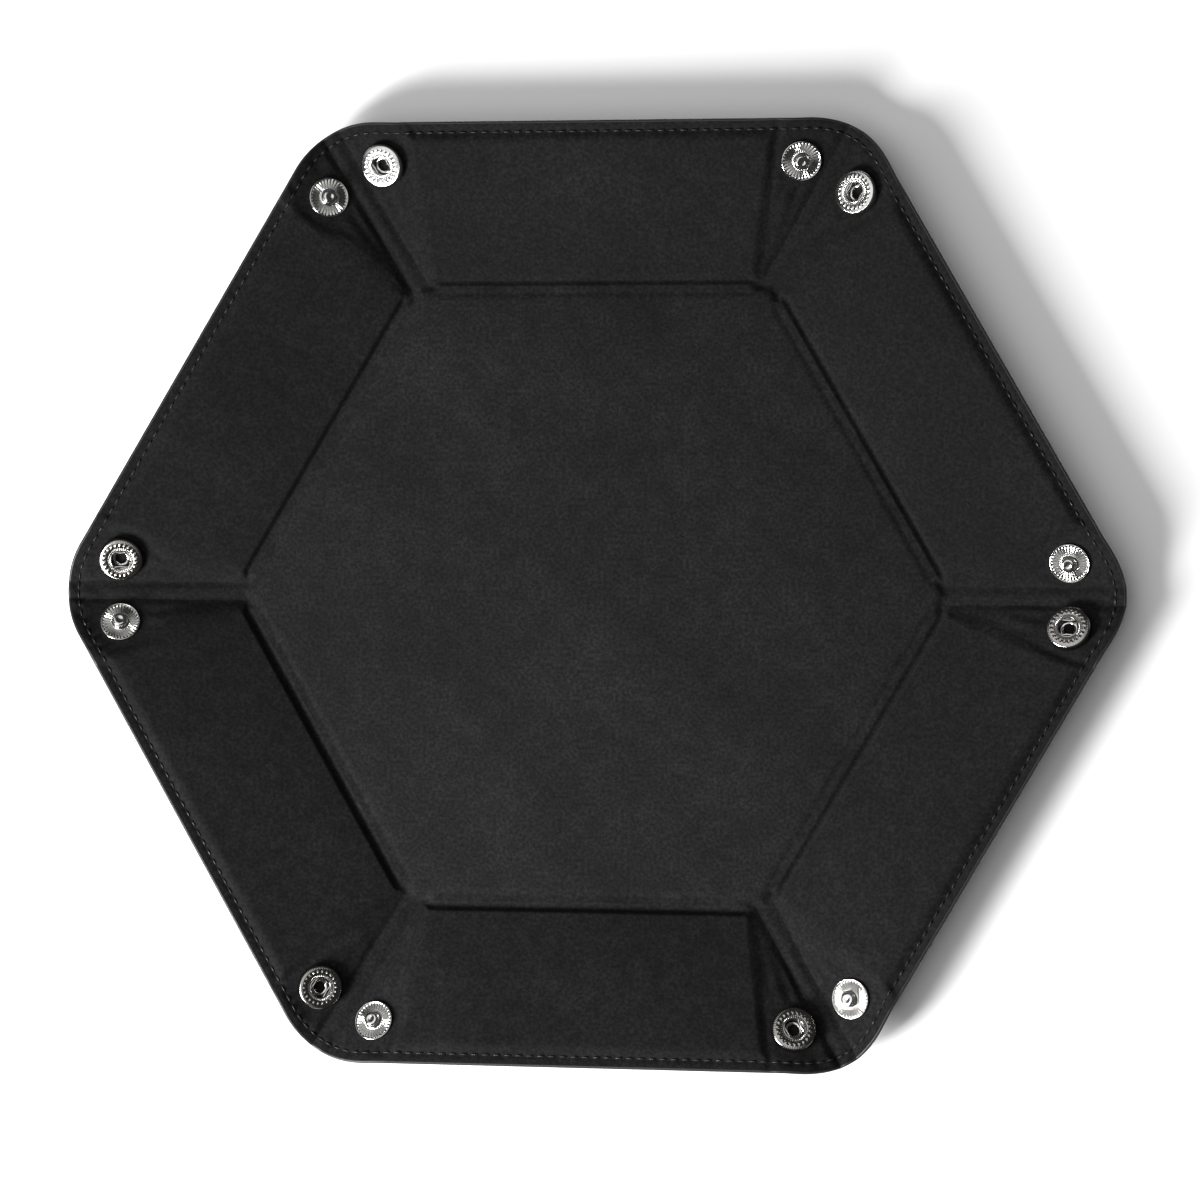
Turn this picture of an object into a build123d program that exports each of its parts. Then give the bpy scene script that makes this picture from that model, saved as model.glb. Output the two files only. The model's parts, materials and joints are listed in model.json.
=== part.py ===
from build123d import *
from math import acos, asin, atan2, cos, degrees, radians, sin, sqrt, tan
import os

# Folding dice tray. A stiff hexagonal base and six stiff wall panels sit between an outer cover sheet
# and a suede lining sheet. The sheets are continuous over every fold, and at each corner they form an
# unstiffened wedge with one snap stud and one spring-snap socket. Pinching a wedge shut stands the walls up.
#
# Frame: origin at the centre of the underside, +Z up, a fold corner on +X. Millimetres.
# Wall i has its outward normal at 30 + 60(i - 1) degrees. Corner i is at its clockwise end.

# Driving dimensions
fold_across_flats = 168.0  # hexagon of the fold lines round the base
wall_width = 45.5  # from fold line to outer edge
corner_radius = 28.0  # rounding of the sheet's outer corners
cover_t = 0.8
board_t = 1.3
lining_t = 0.6
glue_line = 0.05  # between the two plies where no board parts them
rest_fold = 17.0  # how far the walls stand up from flat when the tray is left open
wedge_angle = 22.0  # from the corner crease to each flap's hinge line
crease_half = 2.5  # half the width of the strip between a corner's two crease lines

# Clearances round the folds, measured from each fold axis
fold_gap = 0.7
hinge_gap = 0.6
crease_gap = 0.9
strip_cover_t = 0.5  # both sheets are skived thinner along the crease, clear of the snaps
strip_lining_t = 0.4
flap_tip = 4.0  # flaps start this far out from the fold line

# Boards and the lining drawn over them
board_fold_setback = 2.9
board_hinge_setback = 2.2
board_edge_setback = 4.6
pan_foot = 1.4  # lining's raised area, outside the board's edge, at its foot and at its top
pan_top = 0.5
corner_clip = 4.5  # base board's corners are cut back from the fold corner

# Snap fasteners
snap_along = 33.5  # from the fold corner, along the crease
snap_aside = 9.5  # from the crease's centre line
fabric_hole_r = 2.2
cap_r = 6.0
cap_h = 1.9
cap_skin = 0.4
cap_edge_h = 0.5  # height of the dome's straight edge
cap_lap = 1.5  # flat land of the dome's edge against the cover
barrel_r = 2.0
barrel_bore_r = 1.5
lip_r = 2.5
lip_t = 0.3
socket_r = 6.0
socket_h = 2.7
socket_floor_t = 0.4
socket_roof_t = 0.4
socket_mouth_r = 2.6
socket_cavity_r = 4.8
socket_foot_chamfer = 0.4
socket_shoulder_r = 0.9
mouth_chamfer_w = 0.3
mouth_chamfer_h = 0.2
spring_h = 2.0
spring_wire_r = 0.25
spring_half_gap = 2.3
spring_half_length = 3.9
spring_corner_r = 1.5
stud_r = 5.4
stud_plate_t = 0.5
stud_rim_t = 0.8
stud_rim_w = 0.4
neck_r = 1.65
neck_fillet = 0.5
neck_top = 1.85
ball_r = 1.9
ball_rise = 0.4  # from the neck to the ball's widest part
ball_crown = 0.6  # from the ball's side to its flat tip
ball_bulge = 0.15
ball_tip = 2.8
ball_skin = 0.4
stud_bore_r = 1.25
post_r = 5.5
post_t = 0.9
post_chamfer_w = 0.7
post_edge_h = 0.4
post_pin_r = 1.15
post_pin_tip = 2.2
running_gap = 0.05

# Derived sizes
fold_side = fold_across_flats / sqrt(3)  # side of the fold hexagon, and the radius of its corners
hinge_tilt = 30 - wedge_angle  # hinge line against the wall's outward direction
hinge_angle = 60 + wedge_angle
corner_to_node = crease_half / sin(radians(60))  # fold corner to the point where the creases meet
hinge_foot = fold_side / 2 - corner_to_node
arc_centre = wall_width / cos(radians(30)) - corner_radius / sin(radians(60))


def polar(radius, angle, z=0):
    """Point at a radius and an angle in degrees about +Z."""
    return Vector(radius * cos(radians(angle)), radius * sin(radians(angle)), z)


def crease_rise(fold):
    """Angle of a corner's crease strip above flat, when the walls stand at angle fold."""
    wall_lift = radians(fold)
    side = radians(hinge_angle)
    level = cos(radians(60)) * cos(side) + sin(radians(60)) * sin(side) * cos(wall_lift)
    lift = sin(side) * sin(wall_lift)
    reach = sqrt(level**2 + lift**2)
    return degrees(atan2(lift, level) - acos(cos(radians(wedge_angle)) / reach))


def flap_turn(fold):
    """Angle of a flap about its hinge line, against its wall, when the walls stand at angle fold."""
    rise = radians(crease_rise(fold))
    wall_lift = radians(fold)
    side = radians(hinge_angle)
    crease = Vector(cos(radians(60)) * cos(rise), sin(radians(60)) * cos(rise), sin(rise))
    hinge = Vector(cos(side), sin(side) * cos(wall_lift), sin(side) * sin(wall_lift))
    wall_normal = Vector(0, -sin(wall_lift), cos(wall_lift))
    return crease.cross(hinge).get_angle(wall_normal)


def wall_plane(index):
    """Wall's plane between its two sheets: x clockwise along the fold, y outward, z to the lining."""
    facing = 30 + 60 * (index - 1)
    outward = polar(1, facing)
    normal = outward * -sin(radians(rest_fold)) + Vector(0, 0, cos(radians(rest_fold)))
    return Plane(polar(fold_across_flats / 2, facing, cover_t), x_dir=polar(1, facing - 90), z_dir=normal)


def flap_plane(index, side):
    """Wall's plane turned about the hinge line at its clockwise end (side 1) or its other end (-1)."""
    wall = wall_plane(index)
    start = wall.from_local_coords(Vector(side * hinge_foot, 0, 0))
    ahead = Vector(side * (hinge_foot + tan(radians(hinge_tilt))), 1, 0)
    hinge = Axis(start, wall.from_local_coords(ahead) - start)
    turned = Location(wall).position - start
    spin = Axis((0, 0, 0), hinge.direction)
    turn = side * flap_turn(rest_fold)
    return Plane(
        start + turned.rotate(spin, turn),
        x_dir=wall.x_dir.rotate(spin, turn),
        z_dir=wall.z_dir.rotate(spin, turn),
    )


def crease_plane(index):
    """Corner's crease strip: origin at its foot, y out along the strip, z to the lining."""
    facing = 60 * (index - 1)
    rise = radians(crease_rise(rest_fold))
    normal = polar(1, facing) * -sin(rise) + Vector(0, 0, cos(rise))
    foot = polar(fold_side - corner_to_node * cos(radians(60)), facing, cover_t)
    return Plane(foot, x_dir=polar(1, facing - 90), z_dir=normal)


def by_crease(along, aside, side):
    """Flat wall coordinates of a point given from the fold corner, along and aside of the crease."""
    x = fold_side / 2 + along * sin(radians(30)) - aside * cos(radians(30))
    return (side * x, along * cos(radians(30)) + aside * sin(radians(30)))


def hinge_x(y, setback):
    """Flat x of a line parallel to the hinge line, set back from it towards the wall's middle."""
    return hinge_foot + y * tan(radians(hinge_tilt)) - setback / cos(radians(hinge_tilt))


def wall_outline(fold_setback, hinge_setback, edge_setback):
    """Corners of a wall piece, set back from the fold line, the two hinge lines and the outer edge."""
    low = fold_setback
    high = wall_width - edge_setback
    near = hinge_x(low, hinge_setback)
    far = hinge_x(high, hinge_setback)
    return [(-near, low), (near, low), (far, high), (-far, high)]


def base_outline(setback, clip):
    """Corners of a base piece: the fold hexagon set back, with each corner cut square to its crease."""
    reach = fold_side - clip
    apothem = fold_across_flats / 2 - setback
    half = (apothem - reach * cos(radians(30))) / sin(radians(30))
    ends = [(polar(reach, 60 * k), polar(half, 60 * k + 90)) for k in range(6)]
    return [(point.X, point.Y) for mid, aside in ends for point in (mid - aside, mid + aside)]


def snap_plane(index, side):
    """Snap's plane on its flap, at the fabric hole, with y along the crease."""
    flap = flap_plane(index, side)
    hole = flap.from_local_coords(Vector(*by_crease(snap_along, snap_aside, side), 0))
    along = Vector(side * sin(radians(30)), cos(radians(30)), 0)
    along = flap.from_local_coords(along) - flap.origin
    return Plane(hole, x_dir=along.cross(flap.z_dir), z_dir=flap.z_dir)


def finish(piece, name):
    piece.part.label = name
    export_step(piece.part, f"parts/{name}.step")


os.makedirs("parts", exist_ok=True)

# Base: cover, board and lining
base_plies = base_outline(fold_gap, corner_to_node * cos(radians(60)) + fold_gap)
base_board_outline = base_outline(board_fold_setback, corner_clip)
base_foot = base_outline(board_fold_setback - pan_foot, corner_clip - pan_foot)
base_top = base_outline(board_fold_setback - pan_top, corner_clip - pan_top)

with BuildPart() as base_cover:
    with BuildSketch():
        Polygon(*base_plies, align=None)
    extrude(amount=cover_t)
finish(base_cover, "base_cover")

with BuildPart() as base_board:
    with BuildSketch(Plane.XY.offset(cover_t)):
        Polygon(*base_board_outline, align=None)
    extrude(amount=board_t)
finish(base_board, "base_board")

with BuildPart() as base_lining:
    with BuildSketch(Plane.XY.offset(cover_t)):
        Polygon(*base_plies, align=None)
    extrude(amount=lining_t)
    with BuildSketch(Plane.XY.offset(cover_t + lining_t)):
        Polygon(*base_foot, align=None)
    with BuildSketch(Plane.XY.offset(cover_t + board_t + lining_t)):
        Polygon(*base_top, align=None)
    loft()
    with BuildSketch(Plane.XY.offset(cover_t)):
        Polygon(*base_board_outline, align=None)
    extrude(amount=board_t, mode=Mode.SUBTRACT)
finish(base_lining, "base_lining")

# Walls: cover, board and lining
for i in range(1, 7):
    wall = wall_plane(i)
    plies = wall_outline(fold_gap, hinge_gap, 0)
    board = wall_outline(board_fold_setback, board_hinge_setback, board_edge_setback)
    pan = [
        wall_outline(board_fold_setback - grow, board_hinge_setback - grow, board_edge_setback - grow)
        for grow in (pan_foot, pan_top)
    ]

    with BuildPart() as wall_cover:
        with BuildSketch(wall.offset(-cover_t)):
            Polygon(*plies, align=None)
        extrude(amount=cover_t)
    finish(wall_cover, f"wall_{i}_cover")

    with BuildPart() as wall_board:
        with BuildSketch(wall):
            Polygon(*board, align=None)
        extrude(amount=board_t)
    finish(wall_board, f"wall_{i}_board")

    with BuildPart() as wall_lining:
        with BuildSketch(wall):
            Polygon(*plies, align=None)
        extrude(amount=lining_t)
        with BuildSketch(wall.offset(lining_t)):
            Polygon(*pan[0], align=None)
        with BuildSketch(wall.offset(board_t + lining_t)):
            Polygon(*pan[1], align=None)
        loft()
        with BuildSketch(wall):
            Polygon(*board, align=None)
        extrude(amount=board_t, mode=Mode.SUBTRACT)
    finish(wall_lining, f"wall_{i}_lining")


def flap_points(side):
    """Corners of a flap: hinge side from tip to edge, then the outer arc, then the crease side."""
    beside = crease_half + crease_gap
    tip_along = (flap_tip - beside * sin(radians(30))) / cos(radians(30))
    arc_turn = 0.5 * (radians(30) + asin(beside / corner_radius))
    return [
        (side * hinge_x(flap_tip, -hinge_gap), flap_tip),
        (side * hinge_x(wall_width, -hinge_gap), wall_width),
        by_crease(arc_centre + corner_radius * cos(radians(30)), corner_radius * sin(radians(30)), side),
        by_crease(arc_centre + corner_radius * cos(arc_turn), corner_radius * sin(arc_turn), side),
        by_crease(arc_centre + sqrt(corner_radius**2 - beside**2), beside, side),
        by_crease(tip_along, beside, side),
    ]


# Flaps: the two halves of each corner wedge, a cover ply and a lining ply with the snap's hole
for i in range(1, 7):
    for side, kind in ((1, "stud"), (-1, "socket")):
        flap = flap_plane(i, side)
        tip, outer, arc_start, arc_middle, arc_end, inner = flap_points(side)
        with BuildPart() as flap_plies:
            for ply, thickness in ((flap.offset(-cover_t), cover_t - glue_line), (flap, lining_t)):
                with BuildSketch(ply):
                    with BuildLine():
                        Polyline(inner, tip, outer, arc_start)
                        ThreePointArc(arc_start, arc_middle, arc_end)
                        Line(arc_end, inner)
                    make_face()
                    with Locations(by_crease(snap_along, snap_aside, side)):
                        Circle(fabric_hole_r, mode=Mode.SUBTRACT)
                extrude(amount=thickness)
        finish(flap_plies, f"wall_{i}_{kind}_flap")

# Crease strips: both plies between a corner's two crease lines
crease_arc = corner_to_node * cos(radians(60)) + arc_centre
strip_half = crease_half - crease_gap
shoulder = crease_arc + sqrt(corner_radius**2 - strip_half**2)
for i in range(1, 7):
    strip = crease_plane(i)
    with BuildPart() as crease:
        for ply, thickness in (
            (strip.offset(-cover_t), strip_cover_t - glue_line),
            (strip.offset(strip_cover_t - cover_t), strip_lining_t),
        ):
            with BuildSketch(ply):
                with BuildLine():
                    Line((strip_half, shoulder), (strip_half, fold_gap))
                    Line((strip_half, fold_gap), (-strip_half, fold_gap))
                    Line((-strip_half, fold_gap), (-strip_half, shoulder))
                    RadiusArc((-strip_half, shoulder), (strip_half, shoulder), corner_radius)
                make_face()
            extrude(amount=thickness)
    finish(crease, f"corner_{i}_crease")


def profile_plane(snap):
    """Half section of a snap piece: x out from its axis, y along the axis to the lining side."""
    return Plane(snap.origin, x_dir=snap.x_dir, z_dir=-snap.y_dir)


# Snap caps: a hollow dome under the cover, and a tubular barrel flared over inside the socket
cap_face = -cover_t
socket_floor = lining_t + socket_floor_t
for i in range(1, 7):
    snap = snap_plane(i, -1)
    with BuildPart() as snap_cap:
        with BuildSketch(profile_plane(snap)):
            with BuildLine():
                Spline(
                    (0, cap_face - cap_h),
                    (cap_r, cap_face - cap_edge_h),
                    tangents=((1, 0), (0.4, 1)),
                )
                Polyline(
                    (cap_r, cap_face - cap_edge_h),
                    (cap_r, cap_face),
                    (barrel_r, cap_face),
                    (barrel_r, socket_floor),
                    (lip_r, socket_floor),
                    (lip_r, socket_floor + lip_t),
                    (barrel_bore_r, socket_floor + lip_t),
                    (barrel_bore_r, cap_face - cap_skin),
                    (cap_r - cap_lap, cap_face - cap_skin),
                )
                Spline(
                    (cap_r - cap_lap, cap_face - cap_skin),
                    (0, cap_face - cap_h + cap_skin),
                    tangents=((-0.6, -1), (-1, 0)),
                )
                Line((0, cap_face - cap_h + cap_skin), (0, cap_face - cap_h))
            make_face()
        revolve(axis=Axis(snap.origin, snap.z_dir))
    finish(snap_cap, f"wall_{i}_snap_cap")

# Snap sockets: a hollow ring with a mouth for the ball, and the wire spring that grips its neck
socket_top = lining_t + socket_h
for i in range(1, 7):
    snap = snap_plane(i, -1)
    with BuildPart() as snap_socket:
        with BuildSketch(profile_plane(snap)):
            with BuildLine():
                Polyline(
                    (barrel_r + running_gap, lining_t),
                    (socket_r - socket_foot_chamfer, lining_t),
                    (socket_r, lining_t + socket_foot_chamfer),
                    (socket_r, socket_top - socket_shoulder_r),
                )
                RadiusArc(
                    (socket_r, socket_top - socket_shoulder_r),
                    (socket_r - socket_shoulder_r, socket_top),
                    -socket_shoulder_r,
                )
                Polyline(
                    (socket_r - socket_shoulder_r, socket_top),
                    (socket_mouth_r + mouth_chamfer_w, socket_top),
                    (socket_mouth_r, socket_top - mouth_chamfer_h),
                    (socket_mouth_r, socket_top - socket_roof_t),
                    (socket_cavity_r, socket_top - socket_roof_t),
                    (socket_cavity_r, socket_floor),
                    (barrel_r + running_gap, socket_floor),
                    (barrel_r + running_gap, lining_t),
                )
            make_face()
        revolve(axis=Axis(snap.origin, snap.z_dir))
        with BuildLine(snap.offset(lining_t + spring_h)) as spring:
            FilletPolyline(
                (spring_half_gap, -spring_half_length),
                (spring_half_gap, spring_half_length),
                (-spring_half_gap, spring_half_length),
                (-spring_half_gap, -spring_half_length),
                radius=spring_corner_r,
            )
        with BuildSketch(Plane(spring.line @ 0, z_dir=spring.line % 0)):
            Circle(spring_wire_r)
        sweep()
    finish(snap_socket, f"wall_{i}_snap_socket")

# Snap studs: a rimmed flange with the ball, and the post riveted through the plies into it
for i in range(1, 7):
    snap = snap_plane(i, 1)
    with BuildPart() as snap_stud:
        with BuildSketch(profile_plane(snap)):
            with BuildLine():
                Polyline(
                    (stud_bore_r, lining_t),
                    (stud_r, lining_t),
                    (stud_r, lining_t + stud_rim_t),
                    (stud_r - stud_rim_w, lining_t + stud_rim_t),
                    (stud_r - stud_rim_w, lining_t + stud_plate_t),
                    (neck_r + neck_fillet, lining_t + stud_plate_t),
                    (neck_r, lining_t + stud_plate_t + neck_fillet),
                    (neck_r, lining_t + neck_top),
                    (ball_r, lining_t + neck_top + ball_rise),
                )
                ThreePointArc(
                    (ball_r, lining_t + neck_top + ball_rise),
                    (ball_r - ball_bulge, lining_t + ball_tip - ball_bulge),
                    (ball_r - ball_crown, lining_t + ball_tip),
                )
                Polyline(
                    (ball_r - ball_crown, lining_t + ball_tip),
                    (0, lining_t + ball_tip),
                    (0, lining_t + ball_tip - ball_skin),
                    (stud_bore_r, lining_t + ball_tip - ball_skin),
                    (stud_bore_r, lining_t),
                )
            make_face()
        revolve(axis=Axis(snap.origin, snap.z_dir))
        with BuildSketch(profile_plane(snap)):
            with BuildLine():
                Polyline(
                    (0, cap_face - post_t),
                    (post_r - post_chamfer_w, cap_face - post_t),
                    (post_r, cap_face - post_edge_h),
                    (post_r, cap_face),
                    (barrel_r, cap_face),
                    (barrel_r, lining_t - running_gap),
                    (post_pin_r, lining_t - running_gap),
                    (post_pin_r, lining_t + post_pin_tip),
                    (0, lining_t + post_pin_tip),
                    (0, cap_face - post_t),
                )
            make_face()
        revolve(axis=Axis(snap.origin, snap.z_dir))
    finish(snap_stud, f"wall_{i}_snap_stud")
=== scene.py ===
import json
import math

import bpy
import numpy as np
from mathutils import Matrix, Vector


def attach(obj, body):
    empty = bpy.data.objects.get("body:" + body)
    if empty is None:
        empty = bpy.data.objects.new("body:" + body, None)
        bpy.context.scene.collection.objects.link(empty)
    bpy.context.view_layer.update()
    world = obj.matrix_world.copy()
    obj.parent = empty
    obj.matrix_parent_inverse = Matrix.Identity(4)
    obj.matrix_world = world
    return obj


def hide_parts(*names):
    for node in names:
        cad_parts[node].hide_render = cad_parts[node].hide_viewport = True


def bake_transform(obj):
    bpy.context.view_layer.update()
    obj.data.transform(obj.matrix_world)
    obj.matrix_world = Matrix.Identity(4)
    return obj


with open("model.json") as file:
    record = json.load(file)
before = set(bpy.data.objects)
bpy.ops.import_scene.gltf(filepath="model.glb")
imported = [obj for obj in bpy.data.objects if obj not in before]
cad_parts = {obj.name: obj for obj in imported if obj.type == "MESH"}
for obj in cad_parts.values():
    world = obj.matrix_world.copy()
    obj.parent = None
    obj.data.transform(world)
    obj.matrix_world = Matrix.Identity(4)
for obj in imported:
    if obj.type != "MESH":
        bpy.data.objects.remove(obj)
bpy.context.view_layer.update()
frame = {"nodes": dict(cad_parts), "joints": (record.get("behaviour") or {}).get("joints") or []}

# Sizes are in millimetres and angles in degrees until a mesh is made.
MM = 0.001

# The sheets' flat pattern: a hexagon of fold lines, six walls and six corner wedges
FOLD_ACROSS = 168.0
WALL_WIDTH = 45.5
CORNER_R = 28.0
COVER_T = 0.8
BOARD_T = 1.3
LINING_T = 0.6
REST_FOLD = 17.0
WEDGE = 22.0  # between a corner's crease and each flap's hinge line
CREASE_HALF = 2.5  # half the width of the strip between a corner's two crease lines
BOARD_FOLD_GAP = 2.9
BOARD_HINGE_GAP = 2.2
BOARD_EDGE_GAP = 4.6
BOARD_CORNER_CLIP = 4.5
SNAP_ALONG = 33.5
SNAP_ASIDE = 9.5

# Where the sheets bend, either side of a fold line
FOLD_REACH = 1.9
HINGE_REACH = 1.2
CHORD_REACH = 1.0

# Seam round the edge
STITCH_IN = 2.9
STITCHES_PER_HALF = 23
STITCHES_PER_STRIP = 1  # on each side of a crease's centre line
THREAD_R = 0.23

LINING, COVER = 0, 1  # the two faces, as face_heights returns them

SIDE = FOLD_ACROSS / math.sqrt(3)
CORNER_TO_NODE = CREASE_HALF / math.sin(math.radians(60))
HINGE_FOOT = SIDE / 2 - CORNER_TO_NODE
HINGE_TILT = math.radians(30 - WEDGE)
ARC_CENTRE = WALL_WIDTH / math.cos(math.radians(30)) - CORNER_R / math.sin(math.radians(60))
CHORD_IN = CORNER_TO_NODE * math.cos(math.radians(60))
SIN30, COS30 = 0.5, math.cos(math.radians(30))


# ---------------------------------------------------------------- folding the flat pattern


def crease_rise(fold):
    """Angle of a corner's crease strip above flat, when the walls stand at angle fold."""
    lift, side = math.radians(fold), math.radians(60 + WEDGE)
    level = math.cos(math.radians(60)) * math.cos(side)
    level += math.sin(math.radians(60)) * math.sin(side) * math.cos(lift)
    up = math.sin(side) * math.sin(lift)
    return math.atan2(up, level) - math.acos(math.cos(math.radians(WEDGE)) / math.hypot(level, up))


def flap_turn(fold):
    """Angle of a flap about its hinge line, when the walls stand at angle fold."""
    rise, lift, side = crease_rise(fold), math.radians(fold), math.radians(60 + WEDGE)
    crease = Vector((SIN30 * math.cos(rise), COS30 * math.cos(rise), math.sin(rise)))
    hinge = Vector((math.cos(side), math.sin(side) * math.cos(lift), math.sin(side) * math.sin(lift)))
    return crease.cross(hinge).angle(Vector((0, -math.sin(lift), math.cos(lift))))


REST_RISE = crease_rise(REST_FOLD)
REST_TURN = flap_turn(REST_FOLD)


def ease(t):
    """Smooth step from 0 to 1."""
    t = np.clip(t, 0, 1)
    return t * t * (3 - 2 * t)


def turned(points, origin, axis, angle):
    """Points turned about a line, each by its own angle."""
    axis = np.asarray(axis, float) / np.linalg.norm(axis)
    p = points - origin
    c, s = np.cos(angle)[..., None], np.sin(angle)[..., None]
    along = (p @ axis)[..., None] * axis
    return origin + p * c + np.cross(axis, p) * s + along * (1 - c)


def hinge_x(y):
    """Flat x of the hinge line at a wall's clockwise end."""
    return HINGE_FOOT + y * math.tan(HINGE_TILT)


def past_hinge(x, y):
    """Distance past the nearer hinge line, towards the crease."""
    return (np.abs(x) - hinge_x(y)) * math.cos(HINGE_TILT)


def crease_coords(x, y):
    """Distances along and aside of the nearer corner's crease, from the fold corner."""
    out = np.abs(x) - SIDE / 2
    return out * SIN30 + y * COS30, y * SIN30 - out * COS30


def from_crease(along, aside):
    """Flat wall coordinates at its clockwise end, from distances along and aside of the crease."""
    return SIDE / 2 + along * SIN30 - aside * COS30, along * COS30 + aside * SIN30


def spin(points, degrees):
    angle = math.radians(degrees)
    c, s = math.cos(angle), math.sin(angle)
    return points @ np.array([[c, s, 0], [-s, c, 0], [0, 0, 1]])


def fold_wall(i, x, y, n):
    """Flat wall coordinates and height over the glue line, folded to rest, in the row frame."""
    p = np.stack(np.broadcast_arrays(x, y, n), axis=-1).astype(float)
    for side in (1, -1):
        axis = (side * math.sin(HINGE_TILT), math.cos(HINGE_TILT), 0)
        reach = (side * p[..., 0] - hinge_x(p[..., 1])) * math.cos(HINGE_TILT)
        angle = side * REST_TURN * ease((reach + HINGE_REACH) / (2 * HINGE_REACH))
        p = turned(p, np.array((side * HINGE_FOOT, 0, 0)), axis, angle)
    angle = math.radians(REST_FOLD) * ease((np.asarray(y) + FOLD_REACH) / (2 * FOLD_REACH))
    p = turned(p, np.zeros(3), (1, 0, 0), np.broadcast_to(angle, p.shape[:-1]))
    p = p + np.array((0, FOLD_ACROSS / 2, COVER_T))
    return spin(p, 30 + 60 * (i - 1) - 90)


def on_flap(i, side, x, y, n):
    """Flat wall coordinates at its clockwise end, folded to rest as part of a rigid flap."""
    p = np.stack(np.broadcast_arrays(side * x, y, n), axis=-1).astype(float)
    axis = (side * math.sin(HINGE_TILT), math.cos(HINGE_TILT), 0)
    p = turned(p, np.array((side * HINGE_FOOT, 0, 0)), axis, np.full(p.shape[:-1], side * REST_TURN))
    p = turned(p, np.zeros(3), (1, 0, 0), np.full(p.shape[:-1], math.radians(REST_FOLD)))
    return spin(p + np.array((0, FOLD_ACROSS / 2, COVER_T)), 30 + 60 * (i - 1) - 90)


def fold_strip(i, aside, out, n):
    """Crease strip coordinates, aside and out from the chord, folded to rest, in the row frame."""
    p = np.stack(np.broadcast_arrays(aside, out, n), axis=-1).astype(float)
    angle = REST_RISE * ease((p[..., 1] + CHORD_REACH) / (2 * CHORD_REACH))
    p = turned(p, np.zeros(3), (1, 0, 0), angle)
    p = p + np.array((0, SIDE - CHORD_IN, COVER_T))
    return spin(p, 60 * (i - 1) - 90)


# ---------------------------------------------------------------- heights of the two faces


def edge_in(x, y):
    """Distance in from the sheet's outer edge."""
    along, aside = crease_coords(x, y)
    from_centre = np.hypot(along - ARC_CENTRE, aside)
    on_arc = (along - ARC_CENTRE) * math.tan(math.radians(30)) > np.abs(aside)
    return np.where(on_arc, CORNER_R - from_centre, WALL_WIDTH - y)


def tight(distance):
    """Distance off a board's fold side, stretched so that the lining drops more steeply there."""
    return 1.35 * distance - 0.19


def off_board(x, y):
    """Distance outside the nearer board's outline, negative over a board."""
    along, _ = crease_coords(x, y)
    wall = np.maximum(tight(BOARD_FOLD_GAP - y), y - (WALL_WIDTH - BOARD_EDGE_GAP))
    wall = np.maximum(wall, past_hinge(x, y) + BOARD_HINGE_GAP)
    base = np.maximum(tight(y + BOARD_FOLD_GAP), 0.39 * (along + BOARD_CORNER_CLIP) - 0.6)
    return np.minimum(wall, base)


def fold_profile(y, wander):
    """Share of the board's height that the lining keeps across a fold: a shallow dip beside the base's
    board, a low ridge, and a deeper groove beside the wall's board."""
    kept = 1 - 0.22 * ease((y + 4.0) / 2.2) - 0.10 * np.exp(-(((y + 1.9) / 0.7) ** 2))
    kept = kept + wander * np.exp(-((y / 1.5) ** 2))
    return kept - 0.88 * ease((y - 0.1) / 1.7) + 1.10 * ease((y - 1.9) / 1.6)


WAVES = np.random.default_rng(7).uniform(-1, 1, (14, 3))


def waves(gx, gy, length, first, count):
    """Gentle random undulation over the flat sheet, about 1 high, with this wavelength."""
    total = 0
    for a, b, phase in WAVES[first : first + count]:
        k = 2 * math.pi / length * (1 + 0.35 * phase)
        total = total + np.sin(k * (gx * math.cos(9 * a) + gy * math.sin(9 * a)) + 11 * b)
    return total / count


def flat_place(i, x, y):
    """Place on the whole flat sheet of a wall's flat coordinates."""
    p = np.stack(np.broadcast_arrays(x, y + FOLD_ACROSS / 2, 0.0), axis=-1)
    p = spin(p, 30 + 60 * (i - 1) - 90)
    return p[..., 0], p[..., 1]


SEAM_R = CORNER_R - STITCH_IN
SEAM_ARC = SEAM_R * math.radians(30)
SEAM_ARC_X = SIDE / 2 + ARC_CENTRE * SIN30  # flat x where the rounded corner begins
SEAM_HALF = SEAM_ARC + SEAM_ARC_X
PITCH = (SEAM_HALF - CREASE_HALF) / STITCHES_PER_HALF


def seam_place(s):
    """Flat wall coordinates, at its clockwise end, of a distance along the seam from the crease."""
    on_arc = s < SEAM_ARC
    angle = s / SEAM_R
    ax, ay = from_crease(ARC_CENTRE + SEAM_R * np.cos(angle), SEAM_R * np.sin(angle))
    x = np.where(on_arc, ax, SEAM_ARC_X - (s - SEAM_ARC))
    return x, np.where(on_arc, ay, WALL_WIDTH - STITCH_IN)


def seam_phase(x, y):
    """Stitches counted along the seam from the nearer crease, at the nearest point of the seam."""
    along, aside = crease_coords(x, y)
    round_arc = SEAM_R * np.arctan2(np.abs(aside), np.maximum(along - ARC_CENTRE, 1e-6))
    straight = SEAM_ARC_X - np.abs(x)
    s = np.where(straight > 0, SEAM_ARC + straight, np.minimum(round_arc, SEAM_ARC))
    return np.where(s < CREASE_HALF, s * STITCHES_PER_STRIP / CREASE_HALF, (s - CREASE_HALF) / PITCH)


def wrinkles(along, aside):
    """Small radiating puckers of the unstiffened wedge, strongest beside the crease near the edge."""
    near = np.exp(-((np.abs(aside) - 6.0) / 5.0) ** 2) * ease((along - 12) / 14)
    fan = np.arctan2(aside, np.maximum(along + 8, 1))
    return near * np.sin(fan * 46 + 0.09 * along)


# By corner, on its stud side and its socket side. How deep the two crease lines are pressed:
CREASE_DEPTH = {1: (0.7, 0.8), 2: (1.0, 0.35), 3: (1.0, 0.35), 4: (0.55, 0.75), 5: (0.35, 1.0), 6: (0.35, 1.0)}
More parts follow.
